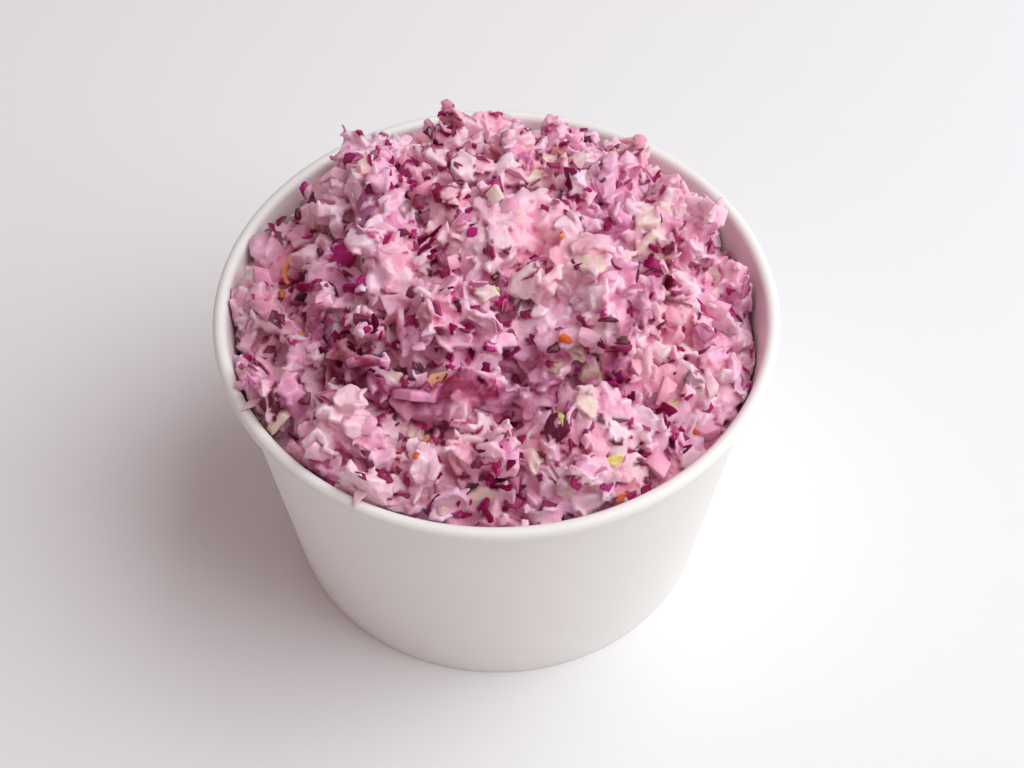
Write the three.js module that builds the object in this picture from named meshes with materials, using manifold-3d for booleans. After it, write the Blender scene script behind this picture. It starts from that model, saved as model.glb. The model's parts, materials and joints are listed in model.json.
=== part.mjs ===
// A round paper tub heaped with finely chopped red-cabbage coleslaw.
//
// Units are millimetres, +Z is up, and the origin is the middle of the foot, on the table.
// The tub is two pieces of paperboard: a tapered side wall, lapped at a side seam, folded in
// at the foot and curled outwards at the rim, and a flat base disc that rests on the folded
// foot. The coleslaw is one heap: a core that fills the tub and mounds over its rim, with
// the chopped pieces that show fused on.

import * as THREE from "three";
import { ConvexGeometry } from "three/addons/geometries/ConvexGeometry.js";
import { mergeVertices } from "three/addons/utils/BufferGeometryUtils.js";
import Module from "manifold-3d";

// ---- Driving dimensions of the tub ----
const RIM_RADIUS = 49;
const TUB_HEIGHT = 58;
const FOOT_RADIUS = 39;
const PAPER = 0.5;
const CURL_RADIUS = 1.25;
const CURL_END = THREE.MathUtils.degToRad(-115);
const FOOT_THICKNESS = 1.3;
const BASE_LEVEL = 7;
const GAP = 0.3;
const SECTORS = 56;

// The lapped side seam: where it is, how wide the lap is and how far it stands proud.
const SEAM_ANGLE = THREE.MathUtils.degToRad(104);
const SEAM_WIDTH = THREE.MathUtils.degToRad(8);
const SEAM_EDGE = THREE.MathUtils.degToRad(0.4);
const SEAM_STEP = 0.35;
const SEAM_TOP = 54.2;
const SEAM_FADE = 0.6;

// ---- Driving dimensions of the coleslaw ----
// The core's mesh, and its surface: a shelf that rises from the edge, a mound and ripples.
const CORE_RINGS = 13;
const CORE_SECTORS = 42;
const SHELF_RISE = 4.8;
const SHELF_ROUNDING = 2.4;
const EDGE_ROUNDING = 5;
const EDGE_FADE = 0.88;
const MOUND = { x: 1, y: 9, reachX: 37, reachY: 36, height: 10.5, fullness: 3.2, softness: 1.3 };
const RIPPLES = [
  { pitch: 8, height: 1.3 },
  { pitch: 3.6, height: 0.8 },
];

// The chopped pieces: how many, their sizes and proportions, and how they lie.
const CHIP_COUNT = 245;
const CHIP_CORNERS = 8;
const LARGEST_CHIP = 8;
const SMALLEST_CHIP = 5;
const CHIP_WIDTH = [0.36, 0.5];
const CHIP_THICKNESS = [0.26, 0.42];
const CHIP_UNEVENNESS = [0.85, 1.15];
const CHIP_TILT = 0.65;
const CHIP_SINK = 0.04;
const EDGE_MARGIN = 1.8;
const MOST_MOVED = 6;
const GOLDEN_ANGLE = Math.PI * (3 - Math.sqrt(5));
const SPIRAL_STRIDE = 89;
const SPIRAL_SWING = 0.15;

// How far the coleslaw's edge stands below the rim, every 30 degrees from the right side.
const EDGE_DEPTHS = [6.5, 5.5, 3.4, 1.6, 3.4, 3.6, 4.0, 1.2, 0.4, 0.6, 1.2, 3.4];

// Lumps of the heap where a spoonful landed: middle, radius and height.
const CLUMPS = [
  { x: -18, y: 2, r: 9, h: 3.2 },
  { x: 11, y: -2, r: 11, h: 3.4 },
  { x: 2, y: 16, r: 10, h: 2.6 },
  { x: -8, y: -14, r: 8, h: 4.2 },
  { x: 24, y: -20, r: 9, h: 4.0 },
  { x: -26, y: -31, r: 10, h: 4.4 },
  { x: -32, y: -9, r: 7, h: 3.0 },
  { x: -40, y: 1, r: 6, h: 2.4 },
  { x: -34, y: 19, r: 7, h: 2.4 },
  { x: -19, y: 28, r: 9, h: 2.8 },
  { x: 33, y: 20, r: 9, h: 3.2 },
  { x: 36, y: -5, r: 7, h: 2.2 },
  { x: -4, y: -34, r: 9, h: 3.4 },
  { x: 14, y: -37, r: 8, h: 2.0 },
  { x: -7, y: 34, r: 7, h: 2.6 },
  { x: 15, y: 31, r: 7, h: 1.8 },
];

// Hollows between the lumps: the two ends of each, its width and its depth.
const HOLLOWS = [
  { from: [-26, -14], to: [-18, -22], w: 4.5, d: 5.0 },
  { from: [-18, -22], to: [3, -22], w: 4.2, d: 4.6 },
  { from: [-36, 8], to: [-29, -3], w: 4.0, d: 4.0 },
  { from: [9, -19], to: [17, -26], w: 4.5, d: 3.0 },
  { from: [25, 5], to: [31, 0], w: 3.5, d: 2.6 },
  { from: [-14, 12], to: [-10, 6], w: 3.5, d: 2.2 },
  { from: [-12, -40], to: [4, -43], w: 3.0, d: 1.6 },
];

// Scraps of cabbage that lean over the rim: bearing, where each ends, width and thickness.
const SCRAP_ROOT = 42.5;
const SCRAP_SLOPE = 0.15;
const SCRAPS = [
  { bearing: 242, end: 48.9, width: 3.0, thickness: 1.2 },
  { bearing: 211, end: 48.6, width: 3.6, thickness: 1.0 },
  { bearing: 203, end: 47.8, width: 2.6, thickness: 1.3 },
];

const wasm = await Module();
wasm.setup();

// ---- Helpers ----

// A small seeded random-number generator, so that the heap is the same each time.
function seededRandom(seed) {
  let state = seed;
  return () => {
    state = (state + 0x6d2b79f5) | 0;
    let t = Math.imul(state ^ (state >>> 15), 1 | state);
    t = (t + Math.imul(t ^ (t >>> 7), 61 | t)) ^ t;
    return ((t ^ (t >>> 14)) >>> 0) / 2 ** 32;
  };
}

// A closed mesh as a manifold-3d solid.
function solidOf(geometry) {
  const bare = geometry.index ? geometry.toNonIndexed() : geometry.clone();
  bare.deleteAttribute("normal");
  bare.deleteAttribute("uv");
  const merged = mergeVertices(bare, 1e-4);
  return new wasm.Manifold(
    new wasm.Mesh({
      numProp: 3,
      vertProperties: merged.attributes.position.array,
      triVerts: new Uint32Array(merged.index.array),
    }),
  );
}

// A manifold-3d solid as a three.js geometry.
function geometryOf(solid) {
  const mesh = solid.getMesh();
  return new THREE.BufferGeometry()
    .setAttribute("position", new THREE.BufferAttribute(mesh.vertProperties, 3))
    .setIndex(new THREE.BufferAttribute(mesh.triVerts, 1));
}

// One closed surface from rings of equally many points, each ring joined to the next.
// With closed set, the last ring joins the first; otherwise both ends are capped by a fan.
function surfaceOfRings(rings, closed) {
  const count = rings[0].length;
  const points = rings.flat();
  const faces = [];
  const last = closed ? rings.length : rings.length - 1;
  for (let i = 0; i < last; i++) {
    const a = i * count;
    const b = ((i + 1) % rings.length) * count;
    for (let j = 0; j < count; j++) {
      const k = (j + 1) % count;
      faces.push(a + j, b + j, b + k, a + j, b + k, a + k);
    }
  }
  if (!closed) {
    const end = (rings.length - 1) * count;
    for (let j = 1; j < count - 1; j++) {
      faces.push(0, j, j + 1);
      faces.push(end, end + j + 1, end + j);
    }
  }
  const geometry = new THREE.BufferGeometry().setFromPoints(points);
  geometry.setIndex(faces);
  return geometry;
}

// ---- The paper tub ----

const curlCentre = { r: RIM_RADIUS - CURL_RADIUS, z: TUB_HEIGHT - CURL_RADIUS };
const neckRadius = curlCentre.r - CURL_RADIUS + PAPER;

function wallOutside(z) {
  return FOOT_RADIUS + ((neckRadius - FOOT_RADIUS) * z) / curlCentre.z;
}

function wallInside(z) {
  return wallOutside(z) - PAPER;
}

// The side wall's section at one bearing, from the foot up the outside, round the curl and
// down the inside. step is how far the lap of the seam stands proud there.
function wallSection(step) {
  const section = [
    [FOOT_RADIUS + step, 0],
    [wallOutside(SEAM_TOP) + step, SEAM_TOP],
    [wallOutside(SEAM_TOP + SEAM_FADE), SEAM_TOP + SEAM_FADE],
  ];
  const innerSteps = 5;
  for (let i = 0; i <= innerSteps; i++) {
    section.push(curlPoint(CURL_RADIUS - PAPER, Math.PI + ((CURL_END - Math.PI) * i) / innerSteps));
  }
  const outerSteps = 8;
  for (let i = 0; i <= outerSteps; i++) {
    section.push(curlPoint(CURL_RADIUS, CURL_END + ((Math.PI - CURL_END) * i) / outerSteps));
  }
  const ledge = BASE_LEVEL - GAP;
  section.push([wallInside(ledge), ledge]);
  section.push([wallOutside(ledge) - FOOT_THICKNESS, ledge]);
  section.push([FOOT_RADIUS - FOOT_THICKNESS, 0]);
  return section;
}

function curlPoint(radius, angle) {
  return [curlCentre.r + radius * Math.cos(angle), curlCentre.z + radius * Math.sin(angle)];
}

function wallBearings() {
  const bearings = [];
  for (let i = 0; i < SECTORS; i++) {
    bearings.push((i / SECTORS) * 2 * Math.PI);
  }
  const from = SEAM_ANGLE - SEAM_WIDTH / 2;
  const to = SEAM_ANGLE + SEAM_WIDTH / 2;
  bearings.push(from, from + SEAM_EDGE, to - SEAM_EDGE, to);
  return bearings.sort((a, b) => a - b);
}

function makeTubWall() {
  const margin = SEAM_WIDTH / 2 - SEAM_EDGE / 2;
  const rings = wallBearings().map((bearing) => {
    const inLap = Math.abs(bearing - SEAM_ANGLE) < margin;
    return wallSection(inLap ? SEAM_STEP : 0).map(
      ([r, z]) => new THREE.Vector3(r * Math.cos(bearing), r * Math.sin(bearing), z),
    );
  });
  return surfaceOfRings(rings, true);
}

function makeTubBase() {
  const radius = wallInside(BASE_LEVEL) - GAP;
  const profile = [
    new THREE.Vector2(0, BASE_LEVEL),
    new THREE.Vector2(radius, BASE_LEVEL),
    new THREE.Vector2(radius, BASE_LEVEL + PAPER),
    new THREE.Vector2(0, BASE_LEVEL + PAPER),
  ];
  // LatheGeometry turns about +Y, so the disc is stood up to turn about +Z.
  return new THREE.LatheGeometry(profile, SECTORS).rotateX(Math.PI / 2);
}

// ---- The coleslaw's surface ----

// The coleslaw's edge against the wall, over the rim's level, by bearing.
function edgeLevel(bearing) {
  const count = EDGE_DEPTHS.length;
  const spot = (((bearing / (2 * Math.PI)) % 1) + 1) * count;
  const before = Math.floor(spot);
  const share = THREE.MathUtils.smoothstep(spot - before, 0, 1);
  return -THREE.MathUtils.lerp(EDGE_DEPTHS[before % count], EDGE_DEPTHS[(before + 1) % count], share);
}

function bump(distance, radius) {
  const u = Math.min(1, distance / radius);
  return (1 - u * u) ** 2;
}

function distanceToSegment(x, y, [ax, ay], [bx, by]) {
  const dx = bx - ax;
  const dy = by - ay;
  const along = THREE.MathUtils.clamp(((x - ax) * dx + (y - ay) * dy) / (dx * dx + dy * dy), 0, 1);
  return Math.hypot(x - ax - along * dx, y - ay - along * dy);
}

// Smooth seeded noise between -1 and 1 on a lattice of the given pitch.
function ripple(x, y, pitch, salt) {
  const corner = (i, j) => 2 * seededRandom((i * 7349 + j * 9151 + salt * 3571) | 0)() - 1;
  const u = x / pitch;
  const v = y / pitch;
  const i = Math.floor(u);
  const j = Math.floor(v);
  const su = THREE.MathUtils.smoothstep(u - i, 0, 1);
  const sv = THREE.MathUtils.smoothstep(v - j, 0, 1);
  const low = THREE.MathUtils.lerp(corner(i, j), corner(i + 1, j), su);
  const high = THREE.MathUtils.lerp(corner(i, j + 1), corner(i + 1, j + 1), su);
  return THREE.MathUtils.lerp(low, high, sv);
}

// Height of the heap over the rim's level at a point, without the chopped pieces: a shelf
// that sinks to the edge against the wall, the mound, the lumps, the hollows and ripples.
function heapHeight(x, y) {
  const bearing = Math.atan2(y, x);
  const reach = Math.min(1, Math.hypot(x, y) / edgeRadius(bearing));
  const away = Math.min(1, Math.hypot((x - MOUND.x) / MOUND.reachX, (y - MOUND.y) / MOUND.reachY));
  let rise = MOUND.height * (1 - away ** MOUND.fullness) ** MOUND.softness;
  for (const clump of CLUMPS) {
    rise += clump.h * bump(Math.hypot(x - clump.x, y - clump.y), clump.r);
  }
  for (const hollow of HOLLOWS) {
    rise -= hollow.d * bump(distanceToSegment(x, y, hollow.from, hollow.to), hollow.w);
  }
  RIPPLES.forEach(({ pitch, height }, salt) => {
    rise += height * ripple(x, y, pitch, salt);
  });
  const shelf = SHELF_RISE * (1 - reach ** SHELF_ROUNDING) + edgeLevel(bearing) * reach ** EDGE_ROUNDING;
  return shelf + rise * (1 - THREE.MathUtils.smoothstep(reach, EDGE_FADE, 1));
}

function edgeRadius(bearing) {
  return wallInside(TUB_HEIGHT + edgeLevel(bearing)) - GAP;
}

// The core: a plug that fills the tub, closed on top by the heap's surface.
function makeCore() {
  const floor = BASE_LEVEL + PAPER + GAP;
  const rings = [];
  const ring = (shape) => {
    const points = [];
    for (let j = CORE_SECTORS; j > 0; j--) {
      points.push(shape((j / CORE_SECTORS) * 2 * Math.PI));
    }
    return points;
  };
  const at = (r, bearing, z) => new THREE.Vector3(r * Math.cos(bearing), r * Math.sin(bearing), z);
  rings.push(ring((b) => at(wallInside(floor) - GAP, b, floor)));
  rings.push(ring((b) => at(edgeRadius(b), b, TUB_HEIGHT + edgeLevel(b))));
  for (let i = CORE_RINGS - 1; i >= 1; i--) {
    const share = i / CORE_RINGS;
    rings.push(
      ring((b) => {
        const r = share * edgeRadius(b);
        return at(r, b, TUB_HEIGHT + heapHeight(r * Math.cos(b), r * Math.sin(b)));
      }),
    );
  }
  return surfaceOfRings(rings, false);
}

// ---- The chopped pieces ----

// An angular piece: the hull of points spread over a flattened, uneven ball.
function makeChip(size, random) {
  const between = ([low, high]) => THREE.MathUtils.lerp(low, high, random());
  const half = new THREE.Vector3(0.5, between(CHIP_WIDTH), between(CHIP_THICKNESS)).multiplyScalar(size);
  const points = [];
  for (let i = 0; i < CHIP_CORNERS; i++) {
    const turn = (i + 0.7 * random()) * GOLDEN_ANGLE;
    const height = 1 - (2 * (i + 0.5)) / CHIP_CORNERS;
    const round = Math.sqrt(1 - height * height);
    const corner = new THREE.Vector3(round * Math.cos(turn), round * Math.sin(turn), height);
    points.push(corner.multiply(half).multiplyScalar(between(CHIP_UNEVENNESS)));
  }
  return new ConvexGeometry(points);
}

function heapNormal(x, y) {
  const step = 0.6;
  const slopeX = (heapHeight(x + step, y) - heapHeight(x - step, y)) / (2 * step);
  const slopeY = (heapHeight(x, y + step) - heapHeight(x, y - step)) / (2 * step);
  return new THREE.Vector3(-slopeX, -slopeY, 1).normalize();
}

// Whether every corner keeps clear of the wall and of the curl.
function fitsTub(geometry) {
  const corners = geometry.attributes.position;
  for (let i = 0; i < corners.count; i++) {
    const radius = Math.hypot(corners.getX(i), corners.getY(i));
    const level = Math.min(corners.getZ(i), curlCentre.z);
    if (radius > wallInside(level) - GAP) return false;
  }
  return true;
}

// A piece set on the heap's surface at one spot, standing on the slope there.
function placeChip(shape, tilt, sink, x, y) {
  const upright = new THREE.Quaternion().setFromUnitVectors(new THREE.Vector3(0, 0, 1), heapNormal(x, y));
  const turn = upright.multiply(new THREE.Quaternion().setFromEuler(tilt));
  return shape.clone().applyQuaternion(turn).translate(x, y, TUB_HEIGHT + heapHeight(x, y) - sink);
}

// The pieces lie over the whole heap on a sunflower spiral, the largest first, each turned
// and tilted at random. One that would cross the tub is moved inwards, or skipped.
function makeChips() {
  const random = seededRandom(20);
  const swing = (range) => range * (2 * random() - 1);
  const chips = [];
  const mouth = edgeRadius(0) - EDGE_MARGIN;
  for (let i = 0; i < CHIP_COUNT; i++) {
    const spot = (i * SPIRAL_STRIDE) % CHIP_COUNT;
    const bearing = spot * GOLDEN_ANGLE + swing(SPIRAL_SWING);
    const size = THREE.MathUtils.lerp(LARGEST_CHIP, SMALLEST_CHIP, (i / CHIP_COUNT) ** 0.7);
    const shape = makeChip(size, random);
    const tilt = new THREE.Euler(swing(CHIP_TILT), swing(CHIP_TILT), swing(Math.PI));
    const sink = size * swing(CHIP_SINK);
    const start = mouth * Math.sqrt((spot + 0.5) / CHIP_COUNT);
    for (let radius = start; radius > start - MOST_MOVED; radius -= 0.5) {
      const placed = placeChip(shape, tilt, sink, radius * Math.cos(bearing), radius * Math.sin(bearing));
      if (fitsTub(placed)) {
        chips.push(placed);
        break;
      }
    }
  }
  return chips;
}

// A scrap that rises out of the heap's edge and leans over the curl, clear of it by the gap.
function makeScrap({ bearing, end, width, thickness }) {
  const angle = THREE.MathUtils.degToRad(bearing);
  const out = new THREE.Vector3(Math.cos(angle), Math.sin(angle), 0);
  const side = new THREE.Vector3(-out.y, out.x, 0);
  const clearance = (CURL_RADIUS + GAP) * Math.hypot(1, SCRAP_SLOPE);
  const underside = (r) => curlCentre.z + clearance + SCRAP_SLOPE * (r - curlCentre.r);
  const points = [];
  const corner = (r, across, lift) => {
    const point = out.clone().multiplyScalar(r).addScaledVector(side, across * width);
    points.push(point.setZ(underside(r) + lift * thickness));
  };
  for (const across of [-0.5, 0.5]) {
    corner(SCRAP_ROOT, across, 0);
    corner(SCRAP_ROOT + 0.5, 0.8 * across, 0.9);
    corner(end - 1.2, 1.1 * across, 0);
    corner(end - 1.6, across, 1);
    corner(end, 0.5 * across, 0.1);
    corner(end - 0.3, 0.4 * across, 0.8);
  }
  return new ConvexGeometry(points);
}

function makeColeslaw() {
  let heap = solidOf(makeCore());
  for (const piece of [...makeChips(), ...SCRAPS.map(makeScrap)]) {
    heap = heap.add(solidOf(piece));
  }
  return geometryOf(heap);
}

// ---- The assembly ----

function part(name, geometry, color, roughness) {
  const material = new THREE.MeshStandardMaterial({ color, roughness, metalness: 0 });
  const mesh = new THREE.Mesh(geometry, material);
  mesh.name = name;
  return mesh;
}

const tubOfColeslaw = new THREE.Group();
tubOfColeslaw.add(
  part("tub_wall", makeTubWall(), 0xf2efeb, 0.6),
  part("tub_base", makeTubBase(), 0xefece8, 0.6),
  part("coleslaw", makeColeslaw(), 0xdd97b6, 0.4),
);

export default tubOfColeslaw;
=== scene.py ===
# %% [markdown]
# # A paper tub heaped with red cabbage coleslaw
#
# The tub and the heap come in as a fixed construction model, in metres, with +Z up. Here the
# tub is pulled again as a smooth shell, and the heap is built up from chopped pieces: first a
# mass that dressing has glued together, then the crisp cut pieces on it, and last the few that
# are laid one by one. All that is random comes from one seeded generator, so each run is alike.

import json
import math

import bpy
import numpy as np
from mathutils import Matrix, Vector, noise
from mathutils.bvhtree import BVHTree

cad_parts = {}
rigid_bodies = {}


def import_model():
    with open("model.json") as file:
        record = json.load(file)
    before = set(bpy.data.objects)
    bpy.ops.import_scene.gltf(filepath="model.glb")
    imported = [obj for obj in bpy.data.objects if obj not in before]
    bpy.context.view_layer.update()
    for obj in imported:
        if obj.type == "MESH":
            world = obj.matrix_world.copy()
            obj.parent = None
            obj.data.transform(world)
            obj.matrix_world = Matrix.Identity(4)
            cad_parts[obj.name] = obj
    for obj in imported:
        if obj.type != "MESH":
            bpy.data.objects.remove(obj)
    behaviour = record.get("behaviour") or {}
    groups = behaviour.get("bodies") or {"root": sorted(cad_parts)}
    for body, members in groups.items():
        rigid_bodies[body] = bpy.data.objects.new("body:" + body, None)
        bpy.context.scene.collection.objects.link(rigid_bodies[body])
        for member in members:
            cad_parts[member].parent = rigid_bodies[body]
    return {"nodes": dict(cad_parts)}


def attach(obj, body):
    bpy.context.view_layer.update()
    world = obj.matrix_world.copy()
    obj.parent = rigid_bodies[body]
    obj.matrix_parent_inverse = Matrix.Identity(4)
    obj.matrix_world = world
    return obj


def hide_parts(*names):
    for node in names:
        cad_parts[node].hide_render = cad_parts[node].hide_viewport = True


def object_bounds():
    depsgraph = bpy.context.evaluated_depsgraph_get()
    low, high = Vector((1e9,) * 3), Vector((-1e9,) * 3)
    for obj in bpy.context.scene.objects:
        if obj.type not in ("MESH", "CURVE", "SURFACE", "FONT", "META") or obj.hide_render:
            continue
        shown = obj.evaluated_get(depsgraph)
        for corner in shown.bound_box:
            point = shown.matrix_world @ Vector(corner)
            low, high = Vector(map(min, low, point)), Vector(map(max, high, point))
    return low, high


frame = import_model()
cad_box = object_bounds()
MM = 0.001
SEED = 8
draw = np.random.default_rng(SEED)
print("nodes:", sorted(frame["nodes"]))

# %% [markdown]
# ## The camera
#
# The tub is seen from in front and close to fifty degrees above. A long lens keeps the rim's
# ellipse calm. The camera could be tracked to an empty, but a plain rotation is easier to read.

# %% Camera
CAMERA_PLACE = Vector((0, -0.22757, 0.31640))
CAMERA_TARGET = Vector((0.00267, 0, 0.03574))
LENS_MM = 70


def look_at(thing, place, target):
    """Puts a camera or light at a place, facing a target."""
    thing.location = place
    thing.rotation_euler = (target - place).to_track_quat("-Z", "Y").to_euler()


bpy.ops.object.camera_add()
camera = bpy.context.object
camera.name = "camera"
camera.data.lens = LENS_MM
look_at(camera, CAMERA_PLACE, CAMERA_TARGET)
bpy.context.scene.camera = camera
print("camera distance:", round((CAMERA_TARGET - CAMERA_PLACE).length, 3), "m")

# %% [markdown]
# ## Sizes of the tub
#
# A paper tub is a cone of paperboard that ends in a curl. The same few sizes drive the
# construction model and this smooth shell, so the two agree.

# %% Tub sizes
RIM_RADIUS = 49.0 * MM
TUB_HEIGHT = 58.0 * MM
FOOT_RADIUS = 39.0 * MM
PAPER = 0.5 * MM
CURL_RADIUS = 1.25 * MM
CURL_END = math.radians(-115)
FOOT_THICKNESS = 1.3 * MM
FOOT_EDGE = 0.12 * MM
BASE_LEVEL = 7.0 * MM
GAP = 0.3 * MM
TUB_SEGMENTS = 144

curl_middle = (RIM_RADIUS - CURL_RADIUS, TUB_HEIGHT - CURL_RADIUS)
neck_radius = curl_middle[0] - CURL_RADIUS + PAPER


def wall_outside(z):
    """Radius of the tub's outer face at a height."""
    return FOOT_RADIUS + (neck_radius - FOOT_RADIUS) * z / curl_middle[1]


def wall_inside(z):
    """Radius of the tub's inner face at a height."""
    return wall_outside(z) - PAPER


print("wall from", round(FOOT_RADIUS / MM, 1), "to", round(neck_radius / MM, 1), "mm")

# %% [markdown]
# ## Small helpers for modelling
#
# Operators act on whatever is selected, so each step first selects one piece and makes it
# active. A finished piece keeps its place in its mesh, with its origin at the middle.

# %% Helpers
def only(piece):
    """Selects one object alone and makes it active."""
    if bpy.context.mode != "OBJECT":
        bpy.ops.object.mode_set(mode="OBJECT")
    bpy.ops.object.select_all(action="DESELECT")
    piece.select_set(True)
    bpy.context.view_layer.objects.active = piece


def edit(piece, select="SELECT"):
    """Opens a piece in edit mode, all or none of it selected."""
    only(piece)
    bpy.ops.object.mode_set(mode="EDIT")
    bpy.ops.mesh.select_all(action=select)


def settle(piece, name, smooth_degrees=35):
    """Puts the place into the mesh and smooths all but the sharp edges."""
    only(piece)
    bpy.ops.object.transform_apply(location=True, rotation=True, scale=True)
    bpy.ops.object.shade_smooth_by_angle(angle=math.radians(smooth_degrees))
    piece.name = name
    piece.data.name = name
    return piece


def apply_modifier(piece, kind, **settings):
    """Adds a modifier and applies it at once."""
    only(piece)
    modifier = piece.modifiers.new(kind.title(), kind)
    for key, value in settings.items():
        setattr(modifier, key, value)
    bpy.ops.object.modifier_apply(modifier=modifier.name)


def pick_faces(piece, wanted):
    """Opens a piece in edit mode, selects the wanted faces and counts them."""
    edit(piece, "DESELECT")
    bpy.ops.object.mode_set(mode="OBJECT")
    for face in piece.data.polygons:
        face.select = wanted(face)
    bpy.ops.object.mode_set(mode="EDIT")
    return piece.data.total_face_sel


def face_outwards():
    """Turns all faces of the piece in edit mode outwards."""
    bpy.ops.mesh.select_all(action="SELECT")
    bpy.ops.mesh.normals_make_consistent(inside=False)


def add_piece(name, mesh):
    """Puts a mesh into the scene as a piece."""
    piece = bpy.data.objects.new(name, mesh)
    bpy.context.scene.collection.objects.link(piece)
    return piece


def points_of(mesh, kind="co"):
    """A mesh's points, or its normals there, as rows."""
    rows = np.empty(len(mesh.vertices) * 3)
    mesh.vertices.foreach_get(kind, rows)
    return rows.reshape(-1, 3)


# %% [markdown]
# ## The tub's wall
#
# A real wall is one blank of paper, wrapped into a cone, glued at a seam, folded in at the
# foot and rolled outwards at the rim. It could be spun from a drawn profile. Pulling one ring
# of edges along the profile gives the same shell, and each pull can be seen as a step.

# %% Pull the wall from one ring
CURL_STEPS = 14
CURL_ALLOWANCE = 0.004 * MM
OUTER_LEVELS = (1.0, 4.0, 6.5, 10, 18, 26, 34, 42, 49, 53.5)
INNER_LEVELS = (52, 45, 36, 27, 18, 10)


def curl_point(radius, angle):
    """A point of the rim's curl, as radius and height."""
    return (curl_middle[0] + radius * math.cos(angle), curl_middle[1] + radius * math.sin(angle))


def wall_profile():
    """The wall's section: up the outside, round the curl, down the inside."""
    section = [(FOOT_RADIUS, FOOT_EDGE)]
    section += [(wall_outside(z * MM), z * MM) for z in OUTER_LEVELS]
    inside, outside = CURL_RADIUS - PAPER, CURL_RADIUS - CURL_ALLOWANCE
    for radius, start, end in ((inside, math.pi, CURL_END), (outside, CURL_END, math.pi)):
        for step in range(CURL_STEPS + 1):
            angle = start + (end - start) * step / CURL_STEPS
            section.append(curl_point(radius, angle))
    section += [(wall_inside(z * MM), z * MM) for z in INNER_LEVELS]
    ledge, heel = BASE_LEVEL - GAP, FOOT_RADIUS - FOOT_THICKNESS
    section += [(wall_inside(ledge), ledge), (wall_outside(ledge) - FOOT_THICKNESS, ledge)]
    return section + [(heel, FOOT_EDGE), (heel + FOOT_EDGE, 0), (FOOT_RADIUS - FOOT_EDGE, 0)]


def pull_ring(start, end):
    """Pulls the selected ring of edges to the next profile point."""
    rise = end[1] - start[1]
    bpy.ops.mesh.extrude_edges_move(TRANSFORM_OT_translate={"value": (0, 0, rise)})
    swell = end[0] / start[0]
    bpy.ops.transform.resize(value=(swell, swell, 1), center_override=(0, 0, end[1]))


def pull_shell(profile, segments):
    """A closed shell, pulled along a profile and bridged where its ends meet."""
    radius, level = profile[0]
    bpy.ops.mesh.primitive_circle_add(vertices=segments, radius=radius, location=(0, 0, level))
    shell = bpy.context.object
    edit(shell)
    for start, end in zip(profile, profile[1:]):
        pull_ring(start, end)
    bpy.ops.mesh.select_all(action="DESELECT")
    bpy.ops.mesh.select_non_manifold()
    bpy.ops.mesh.bridge_edge_loops()
    face_outwards()
    return shell


tub = pull_shell(wall_profile(), TUB_SEGMENTS)
only(tub)
print("tub wall:", len(tub.data.polygons), "faces")

# %% [markdown]
# ## The lapped seam
#
# At the back the blank's two ends overlap, so a strip of the outside stands one paper
# thickness proud, up to where the curl hides it. The strip's faces are picked by their
# bearing and pushed outwards, and its edges stay crisp as cut paper does.

# %% Raise the lap
SEAM_BEARING = math.radians(104)
SEAM_HALF_WIDTH = math.radians(4)
SEAM_STEP = 0.33 * MM
SEAM_TOP = 55.3 * MM
OUTSIDE_MARGIN = 0.1 * MM


def in_seam(face):
    """Whether a face lies in the lapped strip."""
    x, y, z = face.center
    near = abs(math.atan2(y, x) - SEAM_BEARING) < SEAM_HALF_WIDTH
    outside = Vector((x, y)).length > wall_outside(z) - OUTSIDE_MARGIN
    return near and outside and 0 < z < SEAM_TOP


print("lap:", pick_faces(tub, in_seam), "faces")
bpy.ops.mesh.select_mode(type="FACE")
bpy.ops.mesh.extrude_region_shrink_fatten(TRANSFORM_OT_shrink_fatten={"value": SEAM_STEP})
settle(tub, "paper_tub_wall", 50)

# %% [markdown]
# ## The tub's base
#
# The base is a flat disc that rests on the folded foot. Its edge is crimped, so the disc is
# inset for its flat border, and the field inside that is pressed in by a hair.

# %% Base disc
BASE_BORDER = 3.0 * MM
BASE_CRIMP = 0.12 * MM

base_radius = wall_inside(BASE_LEVEL) - GAP
bpy.ops.mesh.primitive_cylinder_add(
    vertices=TUB_SEGMENTS,
    radius=base_radius,
    depth=PAPER,
    location=(0, 0, BASE_LEVEL + PAPER / 2),
)
base = bpy.context.object
pick_faces(base, lambda face: face.normal.z < -0.9)
bpy.ops.mesh.inset(thickness=BASE_BORDER, depth=0)
bpy.ops.mesh.inset(thickness=PAPER, depth=-BASE_CRIMP)
settle(base, "paper_tub_base")
print("base:", len(base.data.polygons), "faces")

# %% [markdown]
# ## Hollows and mounds
#
# The spoon leaves hollows where the pieces part and mounds where they crowd. A few are given,
# as x, y, reach and depth in millimetres. They shape the ground later on, and the hollows get
# more dark skins: real skins, set thickly there to paint shade into the hollows as well.

# %% Hollows and mounds, listed
HOLLOWS = [
    (-12, 2, 2.6, 3.5), (18, 2, 2.4, 4.0), (13, 12, 2.2, 3.0), (-34, 5, 2.6, 3.5),
    (-40, -11, 2.4, 2.5), (-1, -41, 3.6, 3.0), (-16, 15, 2.4, 2.5), (28, 0, 2.4, 3.5),
    (31, -15, 2.4, 2.5), (19, -22, 2.6, 3.5), (-22, -18, 3.0, 3.0), (-5, -19, 2.4, 2.0),
    (30, -30, 2.6, 2.5), (-10, 32, 2.2, 2.0),
]
MOUNDS = [
    (-25, 26, 4.5, 1.6), (-20, 0, 3.6, 1.4), (6, 8, 4.0, 1.0), (22, -11, 4.5, 1.6),
    (5, -28, 4.5, 1.4), (-29, -27, 5.0, 1.6), (32, 14, 4.5, 1.4), (-40, -4, 3.6, 1.4),
    (6, -9, 3.5, 1.0), (20, 36, 4.0, 0.8),
]


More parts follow.
